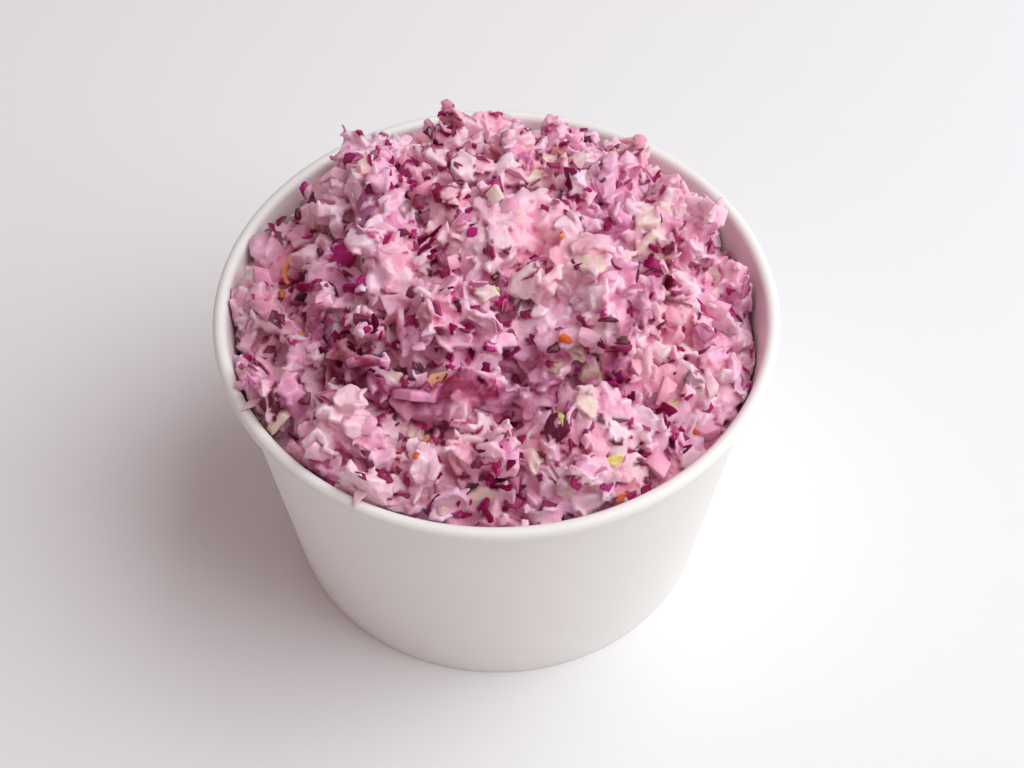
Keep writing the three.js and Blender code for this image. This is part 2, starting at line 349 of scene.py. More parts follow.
def spot_sum(places, spots, wide, deep):
    """Adds up soft spots at each place: their depths, or plain shares of 1."""
    total = np.zeros(len(places))
    for x, y, reach, depth in spots:
        away = np.hypot(places[:, 0] - x * MM, places[:, 1] - y * MM)
        total += (depth * MM if deep else 1) * np.exp(-((away / (wide * reach * MM)) ** 2))
    return total


def crowding(places):
    """A share for each place: above 0 on mounds, below in hollows."""
    return spot_sum(places, MOUNDS, 1.2, False) - spot_sum(places, HOLLOWS, 1.3, False)


print("hand-set hollows and mounds:", len(HOLLOWS) + len(MOUNDS))

# %% [markdown]
# ## The colours of chopped red cabbage
#
# A red cabbage leaf is deep purple on both skins and nearly white inside. In a creamy
# dressing the flesh takes up a pink blush, the skins stay dark, and some carrot or pale green
# cabbage shows. Colours are written as they look on a screen and turned into the linear
# values that materials need.

# %% Palette
def linear(red, green, blue):
    """A screen colour from 0 to 255 as linear values from 0 to 1."""
    share = np.array([red, green, blue]) / 255
    return np.where(share <= 0.04045, share / 12.92, ((share + 0.055) / 1.055) ** 2.4)


def shades(*screen_colours):
    """Several screen colours as a list of linear ones."""
    return [linear(*colour) for colour in screen_colours]


ROSE = np.array(shades((241, 168, 188), (248, 190, 207), (251, 209, 220)))
LILAC = np.array(shades((229, 154, 192), (240, 179, 209), (247, 203, 223)))
SKIN = shades((152, 4, 80), (120, 2, 56), (178, 10, 108), (94, 0, 42), (138, 2, 70))
MAUVE = shades((192, 98, 146), (172, 76, 124), (178, 88, 140))
CREAM = shades((238, 202, 196), (232, 194, 190), (228, 198, 182))
GREEN = shades((206, 190, 112), (196, 186, 104))
CARROT = shades((232, 110, 50), (222, 92, 48), (236, 146, 96))
PALE_CARROT = shades((240, 172, 136))
WOBBLE = 0.15


def drift(places, grain, shift):
    """A random value around 0 that drifts slowly from place to place."""
    start = Vector((shift, -shift, shift))
    return np.array([noise.noise(Vector(place) / grain + start) for place in places])


def between(ramp, shares):
    """Colours at shares from 0 to 1 along a ramp of colours."""
    steps = np.linspace(0, 1, len(ramp))
    return np.stack([np.interp(shares, steps, ramp[:, i]) for i in range(3)], 1)


def flesh_colours(places):
    """Pinks that drift from rose to lilac and from pale to deep, paler on mounds and deeper in
    hollows as painted light and shade.
    """
    count = len(places)
    # painted light and shade: the crowding term pales the flesh on mounds and deepens it in hollows
    pale = 0.5 + 1.1 * drift(places, 6 * MM, 3.1) + 0.25 * crowding(places)
    pale = np.clip(pale + 0.17 * draw.normal(size=count), 0, 1)
    cool = 0.48 + 1.1 * drift(places, 11 * MM, 8.7) + 0.2 * draw.normal(size=count)
    rose, lilac = between(ROSE, pale), between(LILAC, pale)
    return rose + (lilac - rose) * np.clip(cool, 0, 1)[:, None]


def accented(colours, palette, share):
    """Changes a random share of the colours for others from a palette."""
    changed = draw.random(len(colours)) < share
    colours[changed] = np.array(palette)[draw.integers(len(palette), size=changed.sum())]
    return colours


def choose(palette, count):
    """So many colours from a palette, each a little its own."""
    own = 1 + WOBBLE * draw.normal(size=(count, 1)) + 0.15 * WOBBLE * draw.normal(size=(count, 3))
    return np.array(palette)[draw.integers(len(palette), size=count)] * own


print("palette:", len(SKIN) + len(MAUVE) + len(CREAM) + len(GREEN) + len(CARROT), "accents")

# %% [markdown]
# ## Cutting the shapes
#
# Each kind of piece is cut once and then copied many times. A block of rib is a thick slice
# with its corners pushed about and its edges just broken. A bit of leaf is a thin, bowed
# slice, and a shred is a slim bar, bent. All are about one unit long, and get their true size
# when strewn.

# %% Shapes of the pieces
def shape_of(piece):
    """Keeps a cut piece's points and triangles, all flesh, and removes it."""
    bpy.ops.object.mode_set(mode="OBJECT")
    mesh = piece.data
    mesh.calc_loop_triangles()
    triangles = np.array([t.vertices[:] for t in mesh.loop_triangles])
    shape = {"points": points_of(mesh), "faces": triangles, "skin": np.zeros(len(mesh.vertices))}
    bpy.data.objects.remove(piece)
    bpy.data.meshes.remove(mesh)
    return shape


def start_box(scale, push, seed):
    """A box with its corners pushed about, open for editing."""
    bpy.ops.mesh.primitive_cube_add(size=1)
    piece = bpy.context.object
    edit(piece)
    bpy.ops.transform.resize(value=scale)
    bpy.ops.transform.vertex_random(offset=push, uniform=1, seed=seed)
    return piece


def start_slice(corners, slimness):
    """A flat slice with so many corners, open for editing."""
    bpy.ops.mesh.primitive_circle_add(vertices=corners, radius=0.5, fill_type="NGON")
    piece = bpy.context.object
    edit(piece)
    bpy.ops.transform.resize(value=(1, slimness, 1))
    return piece


def cut_chunk(corners, slimness, thickness, edge, seed):
    """A thick slice of rib or stem that narrows upwards."""
    chunk = start_slice(corners, slimness)
    bpy.ops.mesh.extrude_region_move(TRANSFORM_OT_translate={"value": (0, 0, thickness)})
    bpy.ops.transform.resize(value=(0.85, 0.85, 1))
    bpy.ops.mesh.select_all(action="SELECT")
    bpy.ops.transform.vertex_random(offset=0.15, uniform=1, seed=seed)
    face_outwards()
    if edge:
        bpy.ops.mesh.bevel(offset=edge, segments=1, affect="EDGES")
    return shape_of(chunk)


def cut_leaf(corners, slimness, thickness, bow, seed):
    """A bowed slice with uneven corners and a skin on its upper face."""
    leaf = start_slice(corners, slimness)
    bpy.ops.transform.vertex_random(offset=0.13, uniform=1, seed=seed)
    bpy.ops.transform.resize(value=(1, 1, 0.4))
    bpy.ops.mesh.extrude_region_move(TRANSFORM_OT_translate={"value": (0, 0, thickness)})
    bpy.ops.mesh.inset(thickness=0.1, depth=0.01)
    face_outwards()
    shape = shape_of(leaf)
    shape["skin"][corners : 2 * corners] = 0.75
    shape["skin"][2 * corners :] = 1
    shape["points"][:, 2] += bow * (0.08 - shape["points"][:, 0] ** 2)
    return shape


def cut_shred(bend_degrees, seed):
    """A slim bar, divided along its length and bent."""
    shred = start_box((1, 0.12, 0.1), 0.05, seed)
    bpy.ops.mesh.select_all(action="DESELECT")
    bpy.ops.object.mode_set(mode="OBJECT")
    for side in shred.data.edges:
        first, second = (shred.data.vertices[i].co for i in side.vertices)
        side.select = abs(first.x - second.x) > 0.5
    bpy.ops.object.mode_set(mode="EDIT")
    bpy.ops.mesh.select_mode(type="EDGE")
    bpy.ops.mesh.subdivide(number_cuts=4)
    bend = math.radians(bend_degrees)
    apply_modifier(shred, "SIMPLE_DEFORM", deform_method="BEND", angle=bend, deform_axis="Z")
    return shape_of(shred)


rough_chunks = [cut_chunk(5 + i % 2, 0.45 + 0.06 * i, 0.18 + 0.05 * i, 0, i) for i in range(6)]
rough_leaves = [cut_leaf(5 + i % 2, 0.72, 0.16, 0.4, 10 + i) for i in range(6)]
flakes = [cut_leaf(4 + i % 3, 0.4 + 0.06 * i, 0.14, 0.5, 90 + i) for i in range(8)]
frays = [shape_of(start_box((1, 0.5, 0.4), 0.16, 30 + i)) for i in range(6)]
chunks = [cut_chunk(4 + i % 3, 0.45 + 0.04 * i, 0.18 + 0.03 * i, 0.035, 20 + i) for i in range(8)]
leaves = [cut_leaf(4 + i % 4, 0.36 + 0.04 * i, 0.15, 0.8, 40 + i) for i in range(12)]
shreds = [cut_shred(30 + 18 * i, 60 + i) for i in range(5)]
for title, shapes in (("chunk", chunks), ("leaf", leaves), ("shred", shreds), ("fray", frays)):
    print(title, [len(shape["faces"]) for shape in shapes], "triangles")

# %% [markdown]
# ## Strewing the pieces
#
# The pieces lie at all angles, half sunk in what is under them. A particle system could
# strew them, but its copies do not export. Here each kind becomes one joined mesh: with
# arrays a shape is turned, sized and moved to each place, and its colour goes into the mesh
# as an attribute. A point that would pierce the paper is pressed back inside the tub.

# %% Strewing
RIM_CLEARANCE = 0.28 * MM
ROOF_START = 74.5 * MM
STEEPEST = -0.2


def surface_spots(mesh, count, lowest):
    """Random places on a mesh's upper side, evenly by area, with normals."""
    mesh.calc_loop_triangles()
    corners = points_of(mesh)[np.array([t.vertices[:] for t in mesh.loop_triangles])]
    across = np.cross(corners[:, 1] - corners[:, 0], corners[:, 2] - corners[:, 0])
    area = np.linalg.norm(across, axis=1) / 2
    up = across[:, 2] > STEEPEST * 2 * area
    area[~up | (corners[:, :, 2].mean(1) < lowest)] = 0
    chosen = draw.choice(len(area), count, p=area / area.sum())
    first, second = np.sqrt(draw.random(count)), draw.random(count)
    weights = np.stack([1 - first, first * (1 - second), first * second], 1)
    places = (corners[chosen] * weights[:, :, None]).sum(1)
    return places, across[chosen] / (2 * area[chosen, None])


def thinned(places, spacing):
    """Rows of the places that keep a spacing from all kept before them."""
    kept = []
    cells = {}
    reach = [(i, j, k) for i in (-1, 0, 1) for j in (-1, 0, 1) for k in (-1, 0, 1)]
    keys = np.floor(places / spacing).astype(int)
    for row, (place, key) in enumerate(zip(places, keys)):
        near = (spot for step in reach for spot in cells.get(tuple(key + step), ()))
        if all(np.dot(place - spot, place - spot) > spacing * spacing for spot in near):
            cells.setdefault(tuple(key), []).append(place)
            kept.append(row)
    return np.array(kept)


def turns_on(normals, tilt):
    """A random turn for each place: about the normal, and tipped by a tilt."""
    count = len(normals)
    ups = normals + tilt * draw.uniform(-1, 1, (count, 3))
    ups /= np.linalg.norm(ups, axis=1)[:, None]
    sides = np.cross(ups, draw.normal(size=(count, 3)))
    sides /= np.linalg.norm(sides, axis=1)[:, None]
    return np.stack([sides, np.cross(ups, sides), ups], 2)


def under_roof(heights, start, room):
    """Heights that ease off above a start and stay within the room."""
    over = np.maximum(heights - start, 0)
    return np.minimum(heights, start) + room * (1 - np.exp(-over / room))


def sunk(places, normals, sizes, lift):
    """Places moved along their normals by a random share of the sizes."""
    return places + normals * sizes[:, None] * draw.uniform(*lift, (len(places), 1))


def pressed_into_tub(points):
    """Moves points in from the wall and below the heap's height."""
    points[:, 2] = under_roof(points[:, 2], ROOF_START, cad_box[1][2] - ROOF_START)
    level = np.minimum(points[:, 2], curl_middle[1])
    limit = wall_inside(level) - RIM_CLEARANCE
    radius = np.hypot(points[:, 0], points[:, 1])
    shrink = np.minimum(1, limit / np.maximum(radius, 1e-6))
    points[:, :2] *= shrink[:, None]
    return points


def strewn(name, shapes, places, turns, sizes, flesh, skin=None, pressed=True):
    """One joined mesh of copied shapes, coloured by the attribute tint."""
    points, faces, tints = [], [], []
    picks = draw.integers(len(shapes), size=len(places))
    start = 0
    skin = flesh if skin is None else skin
    for number, shape in enumerate(shapes):
        rows = np.nonzero(picks == number)[0]
        if not len(rows):
            continue
        turned = np.einsum("nij,pj->npi", turns[rows], shape["points"])
        placed = places[rows, None] + turned * sizes[rows, None, None]
        share = shape["skin"][None, :, None]
        blend = flesh[rows, None] * (1 - share) + skin[rows, None] * share
        tints.append(blend.reshape(-1, 3))
        offsets = start + len(shape["points"]) * np.arange(len(rows))
        faces.append((shape["faces"][None] + offsets[:, None, None]).reshape(-1, 3))
        points.append(placed.reshape(-1, 3))
        start += len(rows) * len(shape["points"])
    mesh = bpy.data.meshes.new(name)
    points = np.concatenate(points)
    mesh.from_pydata(pressed_into_tub(points) if pressed else points, [], np.concatenate(faces))
    write_tint(mesh, np.concatenate(tints))
    piece = add_piece(name, mesh)
    print(name, len(places), "pieces,", len(mesh.polygons), "triangles")
    return piece


def write_tint(mesh, tints):
    """Stores one colour for each point."""
    layer = mesh.color_attributes.new("tint", "FLOAT_COLOR", "POINT")
    rows = np.concatenate([np.clip(tints, 0, 1), np.ones((len(tints), 1))], 1)
    layer.data.foreach_set("color", rows.astype(np.float32).ravel())


# %% [markdown]
# ## The two scoops of the heap
#
# The heap's big form is in the construction model. A copy of that node is merged, cut off
# below the rim and remeshed into a soft, even skin: the ground that all else lies on. The heap
# was filled in two scoops, and the upper one stands over the lower with a lip, so the ground
# becomes two: each is sunk where the other one shows.

# %% Ground of the heap
BED_FLOOR = 46 * MM
SCOOP_MIDDLE = (-2 * MM, 2 * MM)
SCOOP_BEARINGS = [
    0, 20, 40, 60, 80, 100, 120, 140, 160, 180, 195, 206,
    219, 231, 247, 256, 265, 277, 297, 310, 325, 347, 360,
]
SCOOP_REACH = [
    30, 35, 40, 39, 37, 35, 32, 31, 31.5, 31.5, 29.5, 28.4,
    29, 29.3, 28.6, 28, 26.4, 25.5, 27.5, 29.2, 28, 28, 30,
]
LIP_DEPTH = [
    3, 1, 0, 0, 0, 0, 0, 0.5, 1.5, 1.5, 2, 4.5,
    7.5, 8, 8, 8, 7.5, 6.5, 3, 4, 3.5, 3, 3,
]


def past_scoop(points):
    """How far points lie outside the upper scoop, and how deep its lip is."""
    x, y = points[:, 0] - SCOOP_MIDDLE[0], points[:, 1] - SCOOP_MIDDLE[1]
    bearing = np.degrees(np.arctan2(y, x)) % 360
    past = np.hypot(x, y) - np.interp(bearing, SCOOP_BEARINGS, SCOOP_REACH) * MM
    return past, np.interp(bearing, SCOOP_BEARINGS, LIP_DEPTH) * MM


def eased(value, start, end):
    """A share that eases from 0 at the start to 1 at the end."""
    share = np.clip((value - start) / (end - start), 0, 1)
    return share * share * (3 - 2 * share)


def duplicate(piece, name):
    """A copy of a piece with a mesh of its own."""
    return add_piece(name, piece.data.copy())


def remesh(piece, voxel):
    """Gives a piece one new even skin, at a voxel size."""
    only(piece)
    piece.data.remesh_voxel_size = voxel
    bpy.ops.object.voxel_remesh()


def set_points(piece, points):
    """Writes a piece's points back."""
    piece.data.vertices.foreach_set("co", points.ravel())
    piece.data.update()


ground = duplicate(frame["nodes"]["coleslaw"], "ground")
edit(ground)
bpy.ops.mesh.remove_doubles(threshold=0.002 * MM)
bpy.ops.mesh.bisect(
    plane_co=(0, 0, BED_FLOOR), plane_no=(0, 0, 1), use_fill=True, clear_inner=True
)
remesh(ground, 0.8 * MM)
apply_modifier(ground, "SMOOTH", factor=0.5, iterations=6)
ground_top = points_of(ground.data)[:, 2].max()
print("ground:", len(ground.data.polygons), "faces, top at", round(ground_top / MM, 1), "mm")

# %% [markdown]
# ## One ground for each scoop
#
# The spoon dents the heap in waves of several sizes, and the outer pieces slump to the wall.
# Sculpt brushes could do it, but moving the points along their normals by a sum of slow waves
# is repeatable. Then the lower ground is dug out under the lip, so that it casts a shadow.

# %% Sink each ground where the other scoop shows
GROUND_SINK = 2.0 * MM
WALL_SINK = 1.3 * MM
BACK_RISE = 0.9 * MM
GROUND_WAVES = [(6.0, 9, 1.7), (3.5, 17, 5.3), (2.0, 5, 9.1)]
LIP_SHARE = 0.9
LIP_LEAN = 0.25
LOWER_DROP = 5 * MM
UPPER_DROP = 14 * MM

points = points_of(ground.data)
above = eased(points[:, 2], 49 * MM, 53 * MM)
radius = np.hypot(points[:, 0], points[:, 1])
sink = GROUND_SINK + WALL_SINK * eased(radius, 35 * MM, 44 * MM)
sink -= BACK_RISE * eased(points[:, 1], 26 * MM, 38 * MM)
sink -= sum(high * MM * drift(points, grain * MM, shift) for high, grain, shift in GROUND_WAVES)
sink += spot_sum(points, HOLLOWS, 1, True) - spot_sum(points, MOUNDS, 1, True)
points = points - points_of(ground.data, "normal") * (sink * above)[:, None]
past, lip = past_scoop(points)

lower_points = points.copy()
moat = np.exp(-(((past - 1.0 * MM) / (2.0 * MM)) ** 2))
inside = eased(-past, 1 * MM, 5 * MM)
lower_points[:, 2] -= above * (LIP_SHARE * lip * moat + LOWER_DROP * inside)
lower_ground = duplicate(ground, "lower_ground")
set_points(lower_ground, lower_points)

upper_points = points.copy()
edge = np.exp(-(((past + 0.8 * MM) / (3.4 * MM)) ** 2))
outside = eased(past, 0.2 * MM, 2.2 * MM)
outward = upper_points[:, :2] - np.array(SCOOP_MIDDLE)
outward /= np.linalg.norm(outward, axis=1)[:, None] + 1e-9
upper_points[:, :2] += outward * (LIP_LEAN * lip * edge * above)[:, None]
upper_points[:, 2] += above * (LIP_SHARE * lip * edge - UPPER_DROP * outside)
upper_points[:, 2] = under_roof(upper_points[:, 2], 72 * MM, 3.6 * MM)
upper_ground = duplicate(ground, "upper_ground")
set_points(upper_ground, upper_points)
print("deepest dug under the lip:", round(LIP_SHARE * lip.max() / MM, 1), "mm")

# %% [markdown]
# ## The mass that dressing holds together
#
# Most of what shows are lumps whose edges have melted together under the dressing. Sculpting
# them one by one would never end. Here bits of several sizes are strewn on each ground, and a
# voxel remesh fuses them: it rounds every edge and fills the cracks, just as dressing does.
# Noise leaves some spots bare, which become the pits. Each row gives the shapes, the tries,
# the spacing and sizes in millimetres, how far a lump stands up, and its tilt.

# %% Strew and fuse the lumps
LUMP_KINDS = {
    "big": (rough_chunks + rough_leaves, 420, 5.2, (6.0, 8.0, 11.0), (-0.22, -0.06), 0.42),
    "middling": (rough_chunks + rough_leaves, 6000, 2.7, (3.2, 5.0, 8.0), (-0.16, 0.04), 0.42),
    "small": (frays, 7000, 3.4, (1.2, 2.2, 3.6), (-0.35, 0.0), 0.42),
    "flakes": (flakes, 7000, 2.8, (1.6, 2.8, 4.8), (-0.1, 0.02), 0.9),
}
BARE_BELOW = -0.5
ACCENT_SHARE = 0.05
SKIN_SHARE = 0.12
DARK_SHARE = 0.27


def strew_lumps(surface, kind, showing):
    """Strews one kind of lumps where a scoop shows."""
    shapes, tries, spacing, size_range, lift, tilt = LUMP_KINDS[kind]
    places, normals = surface_spots(surface.data, tries, BED_FLOOR + 1 * MM)
    wanted = showing(places) & (drift(places, 4.5 * MM, 0) > BARE_BELOW)
    places, normals = places[wanted], normals[wanted]
    kept = thinned(places, spacing * MM)
    places, normals = places[kept], normals[kept]
    sizes = draw.triangular(*size_range, len(kept)) * MM
    lumps_at = sunk(places, normals, sizes, lift)
    flesh = flesh_colours(places)
    if kind == "middling":
        flesh = accented(accented(flesh, CREAM, ACCENT_SHARE), MAUVE + SKIN, ACCENT_SHARE)
    skin = accented(flesh.copy(), SKIN, SKIN_SHARE)
    if kind == "flakes":
        # painted shade as well as real skins: dark flakes are likelier in hollows and rarer on
        # mounds
        likely = DARK_SHARE + 1.2 * drift(places, 8 * MM, 21.3) - 0.4 * crowding(places)
        dark = draw.random(len(kept)) < likely
        flesh[dark] = choose(SKIN, dark.sum())
        skin = flesh
    return strewn(kind, shapes, lumps_at, turns_on(normals, tilt), sizes, flesh, skin)


def fused(name, parts, voxel):
    """Several parts joined and remeshed into one skin, and the unfused copy."""
    source = duplicate(parts[0], name + "_source")
    joining = [duplicate(part, "joining") for part in parts[1:]]
    only(source)
    for piece in joining:
        piece.select_set(True)
    bpy.ops.object.join()
    skin = duplicate(source, name)
    remesh(skin, voxel)
    return skin, source


def make_body(name, under, showing):
    """One scoop, fused from all kinds of lumps, and its coloured parts."""
    write_tint(under.data, flesh_colours(points_of(under.data)) ** 1.3)
    big = strew_lumps(under, "big", showing)
    middling = strew_lumps(under, "middling", showing)
    rough, rough_source = fused("rough", [under, big, middling], 0.5 * MM)
    small = strew_lumps(rough, "small", showing)
    thin = strew_lumps(rough, "flakes", showing)
    body, source = fused(name, [under, big, middling, small, thin], 0.3 * MM)
    for spare in (big, middling, small, thin, rough, rough_source):
        bpy.data.objects.remove(spare)
    print(name, len(body.data.polygons), "faces")
    return body, source


def lower_shows(places):
    """Where the lower scoop shows, with a margin under the lip."""
    return past_scoop(places)[0] > -2 * MM


def upper_shows(places):
    """Where the upper scoop shows, down the face of its lip."""
    return past_scoop(places)[0] < 2.6 * MM


lower, lower_source = make_body("lower_scoop", lower_ground, lower_shows)
upper, upper_source = make_body("upper_scoop", upper_ground, upper_shows)

# %% [markdown]
# ## Down to the base
#
# The lower scoop's flat underside is taken away, and its edge is pulled down inside the wall
# to just above the base, so it fills the tub as real coleslaw does. Both scoops lose their
# loose crumbs, get a slight crumple from two textures and are thinned, which keeps small
# faces only where the surface bends.

# %% Crumple, thin and close
BODY_TRIANGLES = 186000
MASS_FLOOR = BASE_LEVEL + PAPER + GAP


def keep_main_part(piece):
    """Keeps what hangs together with the lowest face and drops the crumbs."""
    lowest = min(piece.data.polygons, key=lambda face: face.center.z).index
    pick_faces(piece, lambda face: face.index == lowest)
    bpy.ops.mesh.select_linked()
    bpy.ops.mesh.select_all(action="INVERT")
    bpy.ops.mesh.delete(type="VERT")
    bpy.ops.object.mode_set(mode="OBJECT")


clouds = bpy.data.textures.new("crumple", "CLOUDS")
clouds.noise_scale = 1.3 * MM
clouds.noise_depth = 2
cells = bpy.data.textures.new("shredding", "VORONOI")
cells.noise_scale = 1.1 * MM
for body in (lower, upper):
    keep_main_part(body)
    apply_modifier(body, "SMOOTH", factor=0.5, iterations=4)
    for texture, strength, middle in ((clouds, 0.3, 0.5), (cells, 0.25, 0.4)):
        relief = {"texture": texture, "strength": strength * MM, "mid_level": middle}
        apply_modifier(body, "DISPLACE", texture_coords="LOCAL", **relief)
    ratio = BODY_TRIANGLES / (2 * len(body.data.polygons))
    if ratio < 1:
        apply_modifier(body, "DECIMATE", ratio=ratio)
    print(body.name, len(body.data.polygons), "triangles after thinning")

pick_faces(lower, lambda face: face.center.z < BED_FLOOR + 0.8 * MM)
bpy.ops.mesh.delete(type="FACE")
bpy.ops.mesh.select_non_manifold()
bpy.ops.mesh.extrude_edges_move(TRANSFORM_OT_translate={"value": (0, 0, MASS_FLOOR - BED_FLOOR)})
taper = wall_inside(MASS_FLOOR) / wall_inside(BED_FLOOR)
bpy.ops.transform.resize(value=(taper, taper, 0), center_override=(0, 0, MASS_FLOOR))
bpy.ops.mesh.edge_face_add()
bpy.ops.mesh.quads_convert_to_tris()
face_outwards()
for body in (lower, upper):
    only(body)
    set_points(body, pressed_into_tub(points_of(body.data)))
    bpy.ops.object.shade_smooth()

# %% [markdown]
# ## Colour for the scoops
#
# The remesh forgets colours. Data Transfer brings them back: each point takes the colour of
# the nearest point that went in. Then shade is painted into the colour: hollows get deeper,
# redder colour, as light that bounces from pink to pink would give them, raised points stay a
# little lighter, and the band under the upper scoop's lip is darkened as a painted shadow. How
# hollow a point lies is measured against two smoothed copies of the mesh, and each channel is
# raised to a power: green most.

# %% Bring back the colours and paint shade into the hollows
CLOSE_ROUNDS = 12
CLOSE_FULL = 0.45 * MM
BROAD_ROUNDS = 90
BROAD_FULL = 2.2 * MM
HOLLOW_SHADE_POWERS = (0.75, 1.45, 1.1)


def smoothed_points(piece, rounds):
    """The piece's points after so many rounds of smoothing."""
    copy = duplicate(piece, "smoothed")
    apply_modifier(copy, "SMOOTH", factor=0.5, iterations=rounds)
    points = points_of(copy.data)
    bpy.data.objects.remove(copy)
    return points


def hollowness(piece):
    """How raised, how sunk and how deep in a broad hollow each point is."""
    points, normals = points_of(piece.data), points_of(piece.data, "normal")
    close = ((smoothed_points(piece, CLOSE_ROUNDS) - points) * normals).sum(1)
    broad = smoothed_points(piece, BROAD_ROUNDS)[:, 2] - points[:, 2]
    shares = (-close / CLOSE_FULL, close / CLOSE_FULL, broad / BROAD_FULL)
    return [np.clip(share, 0, 1) for share in shares]


def colour_body(piece, source):
    """Colours a fused scoop from its parts and paints shade into its hollows and under the lip."""
    piece.data.color_attributes.new("tint", "FLOAT_COLOR", "POINT")
    nearest = {"data_types_verts": {"COLOR_VERTEX"}, "vert_mapping": "POLYINTERP_NEAREST"}
    apply_modifier(piece, "DATA_TRANSFER", object=source, use_vert_data=True, **nearest)
    layer = piece.data.color_attributes["tint"]
    tints = np.empty(len(piece.data.vertices) * 4, np.float32)
    layer.data.foreach_get("color", tints)
    tints = tints.reshape(-1, 4)
    raised, close, broad = hollowness(piece)
    past, lip = past_scoop(points_of(piece.data))
    # painted shadow: the band just past the upper scoop's edge, as deep as its lip
    below = np.exp(-(((past - 0.5 * MM) / (1.9 * MM)) ** 2)) * lip / (4 * MM)
    if piece == upper:
        below *= eased(past, -0.5 * MM, 1 * MM)
    # painted shade: deeper, redder colour in hollows and under the lip, a little lighter on raised
    # points
    depth = 0.35 * close**2 - 0.08 * raised + 0.38 * broad**1.5 + 1.0 * below
    painted_hollow_shade = np.outer(depth, HOLLOW_SHADE_POWERS)
    shade = 1 - 0.55 * np.clip(below, 0, 1) - 0.1 * broad
    tints[:, :3] = np.maximum(tints[:, :3], 0.004) ** (1 + painted_hollow_shade) * shade[:, None]
    layer.data.foreach_set("color", tints.ravel())
    print(piece.name, "hollow shares:", np.round([close.mean(), broad.mean()], 3))


colour_body(lower, lower_source)
colour_body(upper, upper_source)
for spare in (ground, lower_ground, upper_ground, lower_source, upper_source):
    bpy.data.objects.remove(spare)

# %% [markdown]
# ## Crisp pieces on top
#
# Over the fused mass lie pieces that kept their edges: slices of rib, bits of leaf with a
# dark skin, bits that are mostly skin, and shreds. Each row gives the shapes, the count, the
# spacing and sizes in millimetres, the tilt, how far a piece stands up, its flesh, its skin,
# and where it lies.

# %% Strew the crisp pieces
HOLLOW_TRIES = 9000
CRISP_DEGREES = 42


def spots_that_show(count):
    """Random places and normals over both scoops, each where it shows."""
    low_at, low_normals = surface_spots(lower.data, count, BED_FLOOR + 4 * MM)
    high_at, high_normals = surface_spots(upper.data, count, BED_FLOOR + 4 * MM)
    low, high = past_scoop(low_at)[0] > 0, past_scoop(high_at)[0] < 0
    places = np.concatenate([low_at[low], high_at[high]])
    normals = np.concatenate([low_normals[low], high_normals[high]])
    order = draw.permutation(len(places))
    return places[order], normals[order]


def keep_edges(piece):
    """Smooths a piece, but keeps its cut edges sharp."""
    only(piece)
    bpy.ops.object.shade_smooth_by_angle(angle=math.radians(CRISP_DEGREES))


def crisp(name, shapes, places, moved, normals, tilt, sizes, flesh, skin=None):
    """One kind of piece, coloured by places on the heap and moved from them."""
    skins = skin(places) if skin else None
    keep_edges(strewn(name, shapes, moved, turns_on(normals, tilt), sizes, flesh(places), skins))


def strew_kind(name, shapes, count, spacing, size_range, tilt, lift, flesh, skin=None, where=None):
    """Strews one kind of piece over both scoops."""
    places, normals = spots_that_show(HOLLOW_TRIES if where else 2 * count)
    if where:
        wanted = where(places)
        places, normals = places[wanted], normals[wanted]
    kept = thinned(places, spacing * MM)[:count]
    places, normals = places[kept], normals[kept]
    sizes = draw.triangular(*size_range, len(kept)) * MM
    moved = sunk(places, normals, sizes, lift)
    crisp(name, shapes, places, moved, normals, tilt, sizes, flesh, skin)


def in_hollows(places):
    """Whether places lie in the given hollows or just under the lip."""
    # the band under a deep lip is where its shadow falls; the dark skins set there add painted
    # shadow
    past, lip = past_scoop(places)
    under_lip = (lip > 5 * MM) & (past > -0.5 * MM) & (past < 3 * MM)
    return (crowding(places) < -0.3) | under_lip


def any_of(palette):
    """Colours from a palette, for as many places as are given."""
    return lambda places: choose(palette, len(places))


def deeper_flesh(places):
    """Flesh a little deeper in colour, for pieces that lie in the light."""
    return flesh_colours(places) ** 1.2


some_skin, mauve, mixed = any_of(SKIN), any_of(MAUVE), any_of(MAUVE + SKIN)
CRISP_KINDS = {
    "rib_chunks": (chunks, 60, 6, (3, 4.6, 7), 0.6, (-0.2, -0.1), deeper_flesh),
    "leaf_bits": (leaves, 110, 3.5, (1.8, 3, 5), 0.8, (-0.14, -0.05), deeper_flesh, mixed),
    "skin_bits": (leaves, 210, 2.5, (1.4, 2.4, 4.6), 0.9, (-0.18, -0.08), mauve, some_skin),
    # hollow_skins: real dark skins, set thickly in hollows and under the lip as painted shade too
    "hollow_skins": (
        leaves, 180, 1.6, (1.4, 2.6, 4.4), 1.2, (-0.16, -0.06), some_skin, some_skin, in_hollows
    ),
    "shreds": (shreds, 80, 3, (1.8, 3, 5), 0.3, (-0.08, -0.03), any_of(SKIN + MAUVE)),
    "pale_shreds": (shreds, 120, 2.4, (1.6, 2.8, 4.6), 0.5, (-0.12, -0.04), deeper_flesh),
}
for name, row in CRISP_KINDS.items():
    strew_kind(name, *row)

# %% [markdown]
# ## Pieces laid one by one
#
# Some pieces draw the eye: bits of carrot, of green cabbage and of white rib, and the largest
# skins. They could be strewn too, but the picture is better when each is laid one by one at a
# place on the heap, given in millimetres. A ray from above finds the surface there.

# %% Lay the chosen pieces
LAID_LEAN = (0, -0.2, 0.6)
LAID_TILT = 0.35


def tree_of(piece):
    """A search tree over a piece's faces."""
    faces = [face.vertices[:] for face in piece.data.polygons]
    return BVHTree.FromPolygons(points_of(piece.data).tolist(), faces)


trees = [tree_of(lower), tree_of(upper)]


